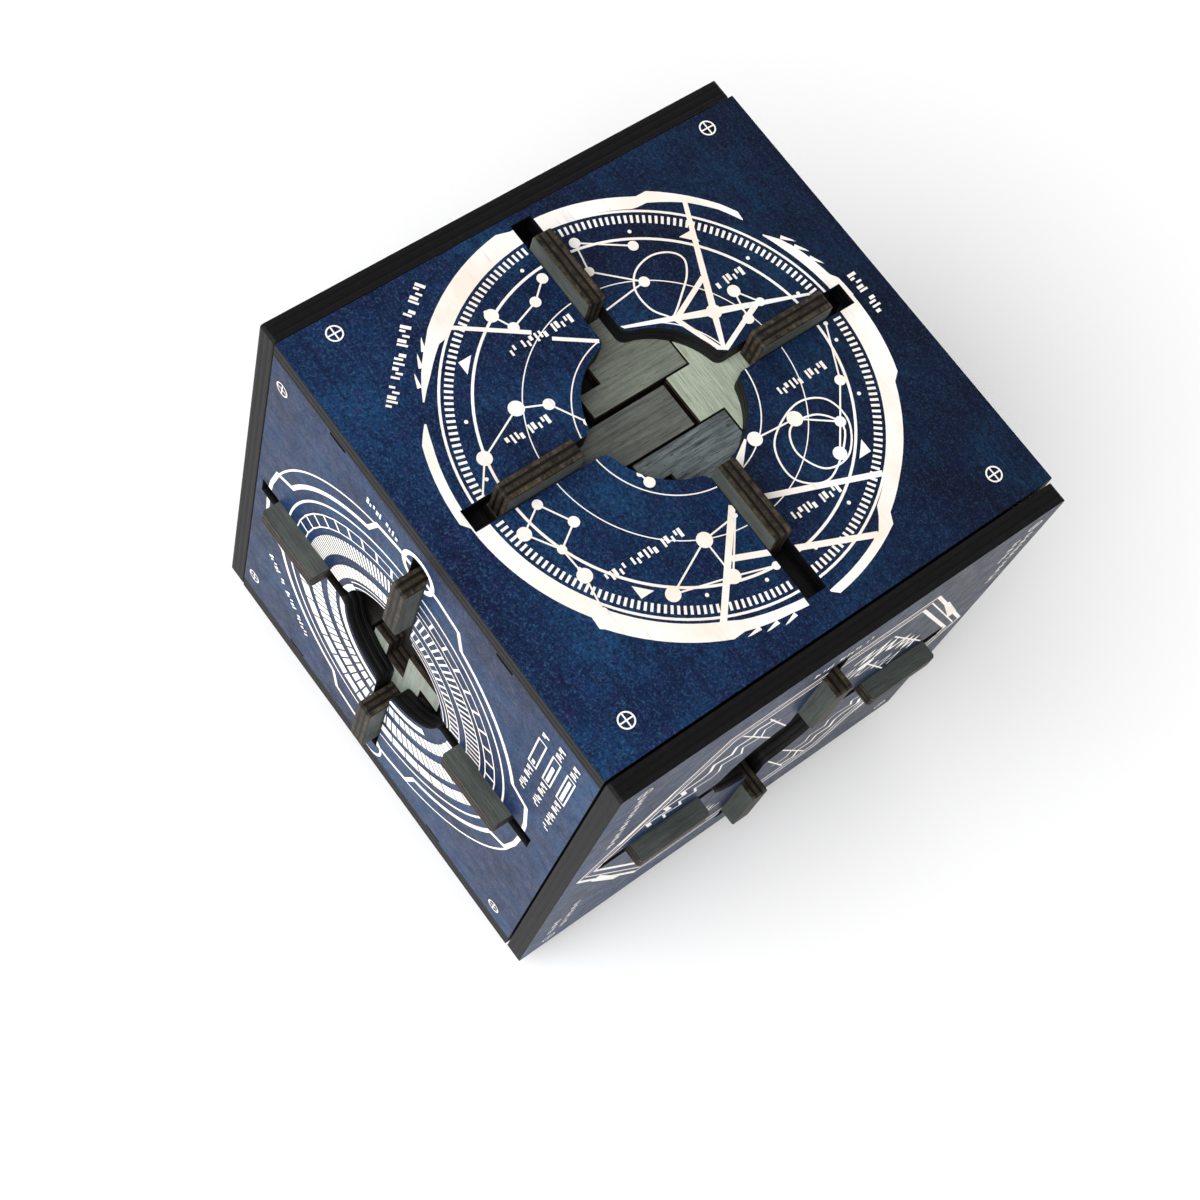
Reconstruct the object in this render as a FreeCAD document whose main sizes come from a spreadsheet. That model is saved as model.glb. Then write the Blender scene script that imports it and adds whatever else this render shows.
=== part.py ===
import FreeCAD, Part
import os
import Sketcher

# A wooden sequence puzzle box: a cube of plywood panels.  Every face has a finger hole, four
# radial slots, and four sliders: a flat plate behind the panel with an upright fin glued to it.
# Under the panels runs a slider layer with corner guide blocks, and inside that an inner box.
# Frame: millimetres, +Z up, origin on the resting plane below the middle of the cube.

doc = FreeCAD.newDocument("puzzle_box")

DIMENSIONS = {
    # outer cube and plywood
    "cube_side": 115.0,
    "ply": 4.5,
    "pattern_offset": 2.7,      # the slot cross of four faces sits this far to the left
    "side_seam": 0.4,           # open seam between the left panel and its neighbours
    "lid_seam": 0.6,            # open seam between the lid panel and its neighbours
    "side_setback": 0.7,        # left panel and lid stop this short of the back
    "corner_round": 0.8,
    # hole and slots of every panel
    "hole_radius": 16.75,
    "slot_reach": 48.0,
    "slot_width": 5.0,
    "slot_round": 2.0,
    # locating notches in the edges of the front and back panels
    "notch_width": 5.0,
    "notch_depth": 1.0,
    "notch_left": -28.3,
    "notch_right": 25.7,
    # slider layer
    "slide_gap": 0.2,
    "plate_ply": 4.3,
    "plate_half": 11.8,
    "guide_near": 12.3,
    "guide_side": 35.7,
    # fins
    "fin_length": 18.5,
    "fin_ply": 4.4,
    "fin_rise": 4.4,
    "fin_chamfer": 0.5,
    # inner ends of the plates
    "short_start": 20.0,
    "foot_start": 6.1,
    "foot_cut_start": 11.6,
    "foot_cut_end": 16.2,
    "foot_cut_side": 6.1,
    "tongue_start": 6.0,
    "tongue_root": 12.2,
    "tongue_half": 5.7,
    "bar_start": -4.6,
    "bar_root": 14.5,
    "bar_low": -4.8,
    "bar_high": 5.5,
    "hook_start": 4.8,
    "hook_root": 16.5,
    "hook_lip": 11.7,
    "hook_near": 0.3,
    "hook_stem": 5.7,
    "prong_start": 10.5,
    "prong_near": -6.0,
    "prong_far": -11.0,
    # inner box
    "wall": 4.0,
    "inner_half": 48.3,
    "plug_half": 48.0,
    "plug_gap": 0.2,
    # where the outer end of each fin stands, from the middle of its own slot cross
    "end_top_right": 36.0,
    "end_top_back": 41.0,
    "end_top_left": 42.0,
    "end_top_front": 41.0,
    "end_front_right": 41.5,
    "end_front_top": 42.0,
    "end_front_left": 42.0,
    "end_front_bottom": 42.0,
    "end_right_back": 42.0,
    "end_right_top": 41.0,
    "end_right_front": 41.0,
    "end_right_bottom": 42.0,
    "end_left_front": 41.0,
    "end_left_top": 42.0,
    "end_left_back": 37.0,
    "end_left_bottom": 41.5,
    "end_back_left": 42.0,
    "end_back_top": 39.0,
    "end_back_right": 41.0,
    "end_back_bottom": 42.0,
    "end_bottom_right": 38.0,
    "end_bottom_front": 41.0,
    "end_bottom_left": 42.0,
    "end_bottom_back": 41.0,
}

sheet = doc.addObject("Spreadsheet::Sheet", "Dims")
for row, (alias, size) in enumerate(DIMENSIONS.items(), start=1):
    sheet.set(f"A{row}", alias)
    sheet.set(f"B{row}", str(size))
    sheet.setAlias(f"B{row}", alias)
doc.recompute()

# Derived places, as expressions on the sheet.
HALF = "Dims.cube_side / 2"
MIDDLE_HEIGHT = "(Dims.fin_rise + Dims.cube_side / 2)"
PANEL_LEFT = "(-Dims.cube_side / 2 + Dims.pattern_offset + Dims.ply + Dims.side_seam)"
PANEL_RIGHT = "(Dims.cube_side / 2 + Dims.pattern_offset - Dims.ply - Dims.lid_seam)"
PANEL_INNER = "(Dims.cube_side / 2 - Dims.ply)"
BACK_EDGE = "(Dims.cube_side / 2 - Dims.side_setback)"
LAYER = "(Dims.plate_ply + 2 * Dims.slide_gap)"
SLOT_HALF = "(Dims.slot_width / 2)"

# Each face: its right, up and outward directions, and the middle of its slot cross.
FACES = {
    "top": ((1, 0, 0), (0, 1, 0), (0, 0, 1),
            ("-Dims.pattern_offset", "0", f"{MIDDLE_HEIGHT} + {HALF}")),
    "bottom": ((1, 0, 0), (0, -1, 0), (0, 0, -1),
               ("-Dims.pattern_offset", "0", f"{MIDDLE_HEIGHT} - {HALF}")),
    "front": ((1, 0, 0), (0, 0, 1), (0, -1, 0),
              ("-Dims.pattern_offset", f"-{HALF}", MIDDLE_HEIGHT)),
    "back": ((-1, 0, 0), (0, 0, 1), (0, 1, 0),
             ("-Dims.pattern_offset", HALF, MIDDLE_HEIGHT)),
    "left": ((0, -1, 0), (0, 0, 1), (-1, 0, 0), (f"-{HALF}", "0", MIDDLE_HEIGHT)),
    "right": ((0, 1, 0), (0, 0, 1), (1, 0, 0), (HALF, "0", MIDDLE_HEIGHT)),
}

# Each panel's edges on its own face: left, right, bottom, top.
PANEL_EDGES = {
    "top": (PANEL_LEFT, PANEL_RIGHT, f"-{HALF}", HALF),
    "bottom": (PANEL_LEFT, PANEL_RIGHT, f"-{HALF}", HALF),
    "front": (PANEL_LEFT, PANEL_RIGHT, f"-{PANEL_INNER}", PANEL_INNER),
    "back": (f"-{PANEL_RIGHT}", f"-{PANEL_LEFT}", f"-{PANEL_INNER}", PANEL_INNER),
    "left": (f"-{BACK_EDGE}", HALF, f"-{HALF}", HALF),
    "right": (f"-{HALF}", BACK_EDGE, f"-{HALF}", HALF),
}

# The slider that each slot of a face holds: the slot's turn from the face's right direction,
# the neighbouring face that it points at, and the shape of its plate's inner end.
SLIDERS = {
    "top": ((0, "right", "foot_low"), (90, "back", "tongue"),
            (180, "left", "foot_high"), (270, "front", "bar")),
    "front": ((0, "right", "short"), (90, "top", "short"),
              (180, "left", "short"), (270, "bottom", "hook")),
    "right": ((0, "back", "short"), (90, "top", "short"),
              (180, "front", "short"), (270, "bottom", "hook")),
    "left": ((0, "front", "foot_low"), (90, "top", "tongue"),
             (180, "back", "foot_high"), (270, "bottom", "bar")),
    "back": ((0, "left", "short"), (90, "top", "short"),
             (180, "right", "short"), (270, "bottom", "hook")),
    "bottom": ((0, "right", "foot_low"), (90, "front", "tongue"),
               (180, "left", "foot_high"), (270, "back", "bar")),
}


def value(expression):
    """The number that an expression on the sheet gives."""
    return float(sheet.evalExpression(expression))


def place(piece, face, depth, turn=0, along="0", across="0"):
    """Lay a piece on a face: turned about the slot cross, moved in its own plane, sunk by depth."""
    right, up, outward, middle = FACES[face]
    frame = FreeCAD.Rotation(*(FreeCAD.Vector(*axis) for axis in (right, up, outward)), "XYZ")
    rotation = frame.multiply(FreeCAD.Rotation(FreeCAD.Vector(0, 0, 1), turn))
    piece.Placement = FreeCAD.Placement(FreeCAD.Vector(), rotation)
    local_x = rotation.multVec(FreeCAD.Vector(1, 0, 0))
    local_y = rotation.multVec(FreeCAD.Vector(0, 1, 0))
    for index, letter in enumerate("xyz"):
        steps = (
            (round(local_x[index]), along),
            (round(local_y[index]), across),
            (-outward[index], depth),
        )
        shift = "".join(f" + {sign} * ({size})" for sign, size in steps if sign != 0)
        piece.setExpression(f".Placement.Base.{letter}", middle[index] + shift)


def new_body(name):
    body = doc.addObject("PartDesign::Body", name)
    body.Label = name
    return body


def new_sketch(body):
    """An empty sketch on the body's own XY plane."""
    sketch = body.newObject("Sketcher::SketchObject", f"{body.Name}_sketch")
    planes = [item for item in body.Origin.OriginFeatures if item.Role == "XY_Plane"]
    sketch.AttachmentSupport = (planes[0], [""])
    sketch.MapMode = "FlatFace"
    return sketch


def outline(body, *loops):
    """A sketch of closed outlines. Each corner is a pair of expressions on the sheet."""
    sketch = new_sketch(body)
    for corners in loops:
        first = sketch.GeometryCount
        count = len(corners)
        points = [FreeCAD.Vector(value(x), value(y), 0) for x, y in corners]
        for index in range(count):
            sketch.addGeometry(Part.LineSegment(points[index], points[(index + 1) % count]))
        for index in range(count):
            after = first + (index + 1) % count
            sketch.addConstraint(Sketcher.Constraint("Coincident", first + index, 2, after, 1))
        for index, corner in enumerate(corners):
            for kind, size in zip(("DistanceX", "DistanceY"), corner):
                number = sketch.addConstraint(
                    Sketcher.Constraint(kind, -1, 1, first + index, 1, value(size)))
                sketch.setExpression(f"Constraints[{number}]", size)
    return sketch


def rectangle(left, right, low, high):
    return ((left, low), (right, low), (right, high), (left, high))


def circle(body, radius):
    sketch = new_sketch(body)
    middle = FreeCAD.Vector(0, 0, 0)
    sketch.addGeometry(Part.Circle(middle, FreeCAD.Vector(0, 0, 1), value(radius)))
    sketch.addConstraint(Sketcher.Constraint("Coincident", 0, 3, -1, 1))
    number = sketch.addConstraint(Sketcher.Constraint("Radius", 0, value(radius)))
    sketch.setExpression(f"Constraints[{number}]", radius)
    return sketch


def pad(body, sketch, length):
    feature = body.newObject("PartDesign::Pad", f"{body.Name}_pad")
    feature.Profile = sketch
    feature.setExpression("Length", length)
    doc.recompute()
    return feature


def pocket(body, sketch):
    """Cut the sketch right through the body, and make sure that wood was removed."""
    before = body.Shape.Volume
    feature = body.newObject("PartDesign::Pocket", f"{body.Name}_pocket")
    feature.Profile = sketch
    feature.Type = "ThroughAll"
    feature.Reversed = True
    doc.recompute()
    if body.Shape.Volume >= before:
        raise RuntimeError(f"the pocket of {body.Label} removed nothing")
    return feature


def dress(body, kind, size_name, size, wanted):
    """Round or chamfer the edges of the body whose middle points pass the test."""
    base = body.Tip
    names = [
        f"Edge{number}"
        for number, edge in enumerate(base.Shape.Edges, start=1)
        if wanted(edge, edge.CenterOfMass)
    ]
    feature = body.newObject(f"PartDesign::{kind}", f"{body.Name}_{kind.lower()}")
    feature.Base = (base, names)
    feature.setExpression(size_name, size)
    doc.recompute()
    return feature


def is_upright(edge):
    box = edge.BoundBox
    return box.XLength < 0.01 and box.YLength < 0.01


def panel(face):
    """An outer panel: a sheet with a finger hole and a cross of four slots."""
    body = new_body(f"{face}_panel" if face != "right" else "lid_panel")
    pad(body, outline(body, rectangle(*PANEL_EDGES[face])), "Dims.ply")
    pocket(body, circle(body, "Dims.hole_radius"))

    reach = "Dims.slot_reach"
    cross = (
        (reach, f"-{SLOT_HALF}"), (reach, SLOT_HALF), (SLOT_HALF, SLOT_HALF),
        (SLOT_HALF, reach), (f"-{SLOT_HALF}", reach), (f"-{SLOT_HALF}", SLOT_HALF),
        (f"-{reach}", SLOT_HALF), (f"-{reach}", f"-{SLOT_HALF}"),
        (f"-{SLOT_HALF}", f"-{SLOT_HALF}"), (f"-{SLOT_HALF}", f"-{reach}"),
        (SLOT_HALF, f"-{reach}"), (SLOT_HALF, f"-{SLOT_HALF}"),
    )
    pocket(body, outline(body, cross))

    if face in ("front", "back"):
        deep = f"({PANEL_INNER} - Dims.notch_depth)"
        past = f"({PANEL_INNER} + Dims.notch_depth)"
        notches = []
        for middle in ("Dims.notch_left", "Dims.notch_right"):
            left = f"({middle} - Dims.notch_width / 2)"
            right = f"({middle} + Dims.notch_width / 2)"
            notches.append(rectangle(left, right, deep, past))
            notches.append(rectangle(left, right, f"-{past}", f"-{deep}"))
        pocket(body, outline(body, *notches))

    hole = value("Dims.hole_radius")
    dress(body, "Fillet", "Radius", "Dims.slot_round",
          lambda edge, at: is_upright(edge) and abs((at.x ** 2 + at.y ** 2) ** 0.5 - hole) < 0.1)
    if face in ("left", "right"):
        corner = value(BACK_EDGE) - 1.0
        dress(body, "Fillet", "Radius", "Dims.corner_round",
              lambda edge, at: is_upright(edge) and min(abs(at.x), abs(at.y)) > corner)
    place(body, face, "Dims.ply")
    return body


def plate_outline(shape, end):
    """A slider plate's corners: along the slot from the middle of the cross, and across it."""
    half = "Dims.plate_half"
    outer_end = ((end, f"-{half}"), (end, half))
    if shape == "short":
        return rectangle("Dims.short_start", end, f"-{half}", half)
    if shape == "tongue":
        root = "Dims.tongue_root"
        start = "Dims.tongue_start"
        side = "Dims.tongue_half"
        return (
            (start, f"-{side}"), (root, f"-{side}"), (root, f"-{half}"), *outer_end,
            (root, half), (root, side), (start, side),
        )
    if shape == "bar":
        root = "Dims.bar_root"
        return (
            ("Dims.bar_start", "Dims.bar_low"), (root, "Dims.bar_low"), (root, f"-{half}"),
            *outer_end, (root, half), (root, "Dims.bar_high"), ("Dims.bar_start", "Dims.bar_high"),
        )
    if shape == "hook":
        root = "Dims.hook_root"
        return (
            (root, f"-{half}"), *outer_end, (root, half), (root, "Dims.hook_stem"),
            ("Dims.hook_lip", "Dims.hook_stem"), ("Dims.hook_lip", "Dims.hook_lip"),
            ("Dims.hook_start", "Dims.hook_lip"), ("Dims.hook_start", "Dims.hook_near"),
            (root, "Dims.hook_near"), (root, "Dims.prong_near"),
            ("Dims.prong_start", "Dims.prong_near"), ("Dims.prong_start", "Dims.prong_far"),
            (root, "Dims.prong_far"),
        )
    cut = (
        ("Dims.foot_cut_end", half), ("Dims.foot_cut_end", "Dims.foot_cut_side"),
        ("Dims.foot_cut_start", "Dims.foot_cut_side"), ("Dims.foot_cut_start", half),
    )
    foot = (("Dims.foot_start", f"-{half}"), *outer_end, *cut, ("Dims.foot_start", half))
    if shape == "foot_high":
        return foot
    return tuple((along, f"-{across}" if across[0] != "-" else across[1:]) for along, across in foot)


def slider(face, turn, toward, shape):
    """The two wooden pieces of one slider: the flat plate and the fin that stands on it."""
    end = f"Dims.end_{face}_{toward}"
    title = f"{face if face != 'right' else 'lid'}_{toward}"

    plate = new_body(f"{title}_plate")
    pad(plate, outline(plate, plate_outline(shape, end)), "Dims.plate_ply")
    place(plate, face, "Dims.ply + Dims.slide_gap + Dims.plate_ply", turn)

    fin = new_body(f"{title}_fin")
    start = f"({end} - Dims.fin_length)"
    side = "(Dims.fin_ply / 2)"
    tall = "(Dims.ply + Dims.slide_gap + Dims.fin_rise)"
    pad(fin, outline(fin, rectangle(start, end, f"-{side}", side)), tall)
    top = value(tall)
    dress(fin, "Chamfer", "Size", "Dims.fin_chamfer",
          lambda edge, at: at.z > top - 0.01 and edge.BoundBox.XLength < 0.01)
    place(fin, face, "Dims.ply + Dims.slide_gap", turn)
    return [plate, fin]


def guide_blocks(name, faces):
    """The square corner blocks between which the plates slide, four to a face."""
    blocks = []
    for face in faces:
        for turn in (0, 90, 180, 270):
            block = doc.addObject("Part::Box", f"{face}_guide_block_{turn}")
            block.setExpression("Length", "Dims.guide_side")
            block.setExpression("Width", "Dims.guide_side")
            block.setExpression("Height", LAYER)
            near = "Dims.guide_near"
            place(block, face, f"Dims.ply + {LAYER}", turn, near, near)
            blocks.append(block)
    return grouped(name, blocks)


def grouped(name, pieces):
    group = doc.addObject("Part::Compound", name)
    group.Label = name
    group.Links = pieces
    return group


def board(name, low, high):
    """A plain rectangular board between two corners, given as expressions on the sheet."""
    box = doc.addObject("Part::Box", name)
    box.Label = name
    for size, letter, start, stop in zip(("Length", "Width", "Height"), "xyz", low, high):
        box.setExpression(size, f"({stop}) - ({start})")
        box.setExpression(f".Placement.Base.{letter}", start)
    return box


def inner_box():
    """The walls of the compartment: two long pairs and the end wall away from the lid."""
    end_outer = f"(-{HALF} + Dims.ply + {LAYER})"
    mouth = f"({HALF} - Dims.ply - {LAYER} - Dims.wall - Dims.plug_gap)"
    outer = "Dims.inner_half"
    inner = "(Dims.inner_half - Dims.wall)"
    level = {
        size: {sign: f"{MIDDLE_HEIGHT} {sign} {size}" for sign in "+-"} for size in (outer, inner)
    }
    floor = board("inner_floor", (end_outer, f"-{outer}", level[outer]["-"]),
                  (mouth, outer, level[inner]["-"]))
    ceiling = board("inner_ceiling", (end_outer, f"-{outer}", level[inner]["+"]),
                    (mouth, outer, level[outer]["+"]))
    front = board("inner_front", (end_outer, f"-{outer}", level[inner]["-"]),
                  (mouth, f"-{inner}", level[inner]["+"]))
    back = board("inner_back", (end_outer, inner, level[inner]["-"]),
                 (mouth, outer, level[inner]["+"]))
    end = board("inner_end_wall", (end_outer, f"-{inner}", level[inner]["-"]),
                (f"{end_outer} + Dims.wall", inner, level[inner]["+"]))
    return [
        grouped("inner_floor_and_ceiling", [floor, ceiling]),
        grouped("inner_side_walls", [front, back]),
        end,
    ]


def lid_plug():
    """The inner board of the lid, which closes the mouth of the compartment."""
    outer = f"({HALF} - Dims.ply - {LAYER})"
    size = "Dims.plug_half"
    return board(
        "lid_plug_board",
        (f"{outer} - Dims.wall", f"-{size}", f"{MIDDLE_HEIGHT} - {size}"),
        (outer, size, f"{MIDDLE_HEIGHT} + {size}"))


nodes = [panel(face) for face in FACES]
for slider_face, slots in SLIDERS.items():
    for slot_turn, neighbour, plate_shape in slots:
        nodes += slider(slider_face, slot_turn, neighbour, plate_shape)
nodes.append(guide_blocks("guide_blocks", ("top", "bottom", "front", "back", "left")))
nodes.append(guide_blocks("lid_guide_blocks", ("right",)))
nodes += inner_box()
nodes.append(lid_plug())
doc.recompute()

for item in doc.Objects:
    if "Invalid" in item.State or "Error" in item.State:
        raise RuntimeError(f"{item.Label} did not rebuild: {item.State}")
for node in nodes:
    if node.Shape.isNull() or not node.Shape.isValid():
        raise RuntimeError(f"{node.Label} has no valid shape")

os.makedirs("parts", exist_ok=True)
for node in nodes:
    node.Shape.exportStep(f"parts/{node.Label}.step")
print(len(nodes), "nodes written")
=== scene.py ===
import math
import random

import bmesh
import bpy
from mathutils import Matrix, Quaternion, Vector
from mathutils.geometry import tessellate_polygon


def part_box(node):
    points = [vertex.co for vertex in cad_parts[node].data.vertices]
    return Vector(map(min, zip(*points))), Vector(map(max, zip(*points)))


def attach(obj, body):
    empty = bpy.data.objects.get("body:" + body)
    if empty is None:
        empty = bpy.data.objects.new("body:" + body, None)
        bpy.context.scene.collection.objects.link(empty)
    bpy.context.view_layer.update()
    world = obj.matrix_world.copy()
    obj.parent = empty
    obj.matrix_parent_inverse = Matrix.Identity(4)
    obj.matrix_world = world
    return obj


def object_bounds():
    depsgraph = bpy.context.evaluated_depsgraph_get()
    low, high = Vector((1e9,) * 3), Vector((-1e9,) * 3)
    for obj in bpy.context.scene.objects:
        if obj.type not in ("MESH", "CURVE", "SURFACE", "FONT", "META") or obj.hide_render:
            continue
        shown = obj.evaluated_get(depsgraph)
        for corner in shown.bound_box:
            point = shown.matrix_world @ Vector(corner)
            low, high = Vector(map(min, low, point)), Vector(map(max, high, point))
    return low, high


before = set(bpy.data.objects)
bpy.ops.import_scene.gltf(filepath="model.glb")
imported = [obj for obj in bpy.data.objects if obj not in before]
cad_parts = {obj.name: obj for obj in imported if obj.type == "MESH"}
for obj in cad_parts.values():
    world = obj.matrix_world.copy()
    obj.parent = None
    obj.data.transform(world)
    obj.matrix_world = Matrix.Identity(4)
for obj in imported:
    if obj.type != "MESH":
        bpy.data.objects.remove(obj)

CAD_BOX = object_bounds()
MM = 0.001
bpy.context.scene.view_settings.view_transform = "Standard"

# ---------------------------------------------------------------- the six faces
# Each face: its right, up and outward directions, its panel, the body that carries it, and one
# fin in its upright slot and one in its level slot, which give the middle of the slot cross.
FACES = {
    "top": ((1, 0, 0), (0, 1, 0), (0, 0, 1), "top_panel", "box", "top_back_fin", "top_left_fin"),
    "bottom": ((1, 0, 0), (0, -1, 0), (0, 0, -1), "bottom_panel", "box",
               "bottom_front_fin", "bottom_left_fin"),
    "front": ((1, 0, 0), (0, 0, 1), (0, -1, 0), "front_panel", "box",
              "front_top_fin", "front_left_fin"),
    "back": ((-1, 0, 0), (0, 0, 1), (0, 1, 0), "back_panel", "box",
             "back_top_fin", "back_left_fin"),
    "left": ((0, -1, 0), (0, 0, 1), (-1, 0, 0), "left_panel", "box",
             "left_top_fin", "left_front_fin"),
    "lid": ((0, 1, 0), (0, 0, 1), (1, 0, 0), "lid_panel", "lid", "lid_top_fin", "lid_front_fin"),
}


def middle(node):
    low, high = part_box(node)
    return (low + high) / 2


class Face:
    """A face of the cube as a drawing board: millimetres right and up from the slot cross."""

    def __init__(self, name):
        right, up, out, self.panel, self.body, upright, level = FACES[name]
        self.name = name
        self.right, self.up, self.out = Vector(right), Vector(up), Vector(out)
        low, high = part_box(self.panel)
        surface = max(low.dot(self.out), high.dot(self.out))
        self.centre = (
            self.right * middle(upright).dot(self.right)
            + self.up * middle(level).dot(self.up)
            + self.out * surface
        )
        across = sorted((corner - self.centre).dot(self.right) / MM for corner in (low, high))
        along = sorted((corner - self.centre).dot(self.up) / MM for corner in (low, high))
        self.edges = (across[0], across[1], along[0], along[1])

    def point(self, x, y, height):
        return self.centre + (self.right * x + self.up * y + self.out * height) * MM


# ---------------------------------------------------------------- printed line art
# Lengths on a face are in millimetres from its slot cross, and angles are in degrees.
# The panels' openings, with a little room round them that the ink stays clear of.
HOLE_RADIUS = 16.9
SLOT_HALF = 2.6
SLOT_REACH = 48.1
MOUTH_HALF = 4.0
MOUTH_START = 16.2
MOUTH_END = 18.3
EDGE_MARGIN = 0.4
INK_LIFT = 0.03         # from the panel to the first shape
INK_STEP = 0.001        # between shapes, so that no two of them lie in one plane
ARC_STEP = 3.0          # angle between the points of a curve
HOLE_STEP = 5
DISC_STEP = 15
MITRE_LIMIT = 0.35      # the least cosine at a corner of a line, so that no mitre runs far out
PARALLEL = 1e-6         # a sum of directions shorter than this has none of its own
MERGE_DISTANCE = 1e-7   # metres
# A barb's outline: how far inside its circle each corner lies, and how far round it.
BARB = ((0.0, 0.0), (0.1, 1.0), (0.7, 3.8), (1.6, 3.4))
# The strokes of a tally: where they start and end, as shares of its height, in turn. Every
# seventh place is a gap, and every third stroke is wider.
STROKE_LOWS = (0.0, 0.0, 0.35, 0.0)
STROKE_HIGHS = (1.0, 0.55, 1.0, 0.8)
GAP_EVERY, GAP_PLACE = 7, 5
WIDE_EVERY, WIDE_FACTOR = 3, 1.5


def polar(radius, angle, centre=(0.0, 0.0)):
    turn = math.radians(angle)
    return (centre[0] + radius * math.cos(turn), centre[1] + radius * math.sin(turn))


def half_plane(polygon, start, stop):
    """Split a convex polygon by a line: the part on its left, and the part on its right."""
    dx, dy = stop[0] - start[0], stop[1] - start[1]
    sides = [dx * (y - start[1]) - dy * (x - start[0]) for x, y in polygon]
    left, right = [], []
    for index, here in enumerate(polygon):
        after = (index + 1) % len(polygon)
        if sides[index] >= 0:
            left.append(here)
        if sides[index] <= 0:
            right.append(here)
        if sides[index] * sides[after] < 0:
            share = sides[index] / (sides[index] - sides[after])
            there = polygon[after]
            crossing = tuple(a + (b - a) * share for a, b in zip(here, there))
            left.append(crossing)
            right.append(crossing)
    return left, right


def edge_pairs(polygon):
    return zip(polygon, polygon[1:] + polygon[:1])


def cut_away(polygon, opening):
    """What is left of a convex polygon outside a convex opening, as convex polygons."""
    for axis in (0, 1):
        spread = [point[axis] for point in polygon]
        limits = [point[axis] for point in opening]
        if min(spread) >= max(limits) or max(spread) <= min(limits):
            return [polygon]
    kept = []
    rest = polygon
    for start, stop in edge_pairs(opening):
        rest, outside = half_plane(rest, start, stop)
        if len(outside) > 2:
            kept.append(outside)
        if len(rest) < 3:
            break
    return kept


def keep_inside(polygon, window):
    for start, stop in edge_pairs(window):
        polygon, _ = half_plane(polygon, start, stop)
        if len(polygon) < 3:
            return []
    return polygon


def box_outline(left, right, low, high):
    return [(left, low), (right, low), (right, high), (left, high)]


def panel_openings():
    """The finger hole, the slots and the slots' rounded mouths, as convex polygons."""
    openings = [[polar(HOLE_RADIUS, angle) for angle in range(0, 360, HOLE_STEP)]]
    openings.append(box_outline(-SLOT_REACH, SLOT_REACH, -SLOT_HALF, SLOT_HALF))
    openings.append(box_outline(-SLOT_HALF, SLOT_HALF, -SLOT_REACH, SLOT_REACH))
    mouth = [
        (0, -MOUTH_HALF), (MOUTH_START, -MOUTH_HALF), (MOUTH_END, -SLOT_HALF),
        (MOUTH_END, SLOT_HALF), (MOUTH_START, MOUTH_HALF), (0, MOUTH_HALF),
    ]
    for cos, sin in ((1, 0), (0, 1), (-1, 0), (0, -1)):
        openings.append([(x * cos - y * sin, x * sin + y * cos) for x, y in mouth])
    return openings


OPENINGS = panel_openings()


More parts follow.
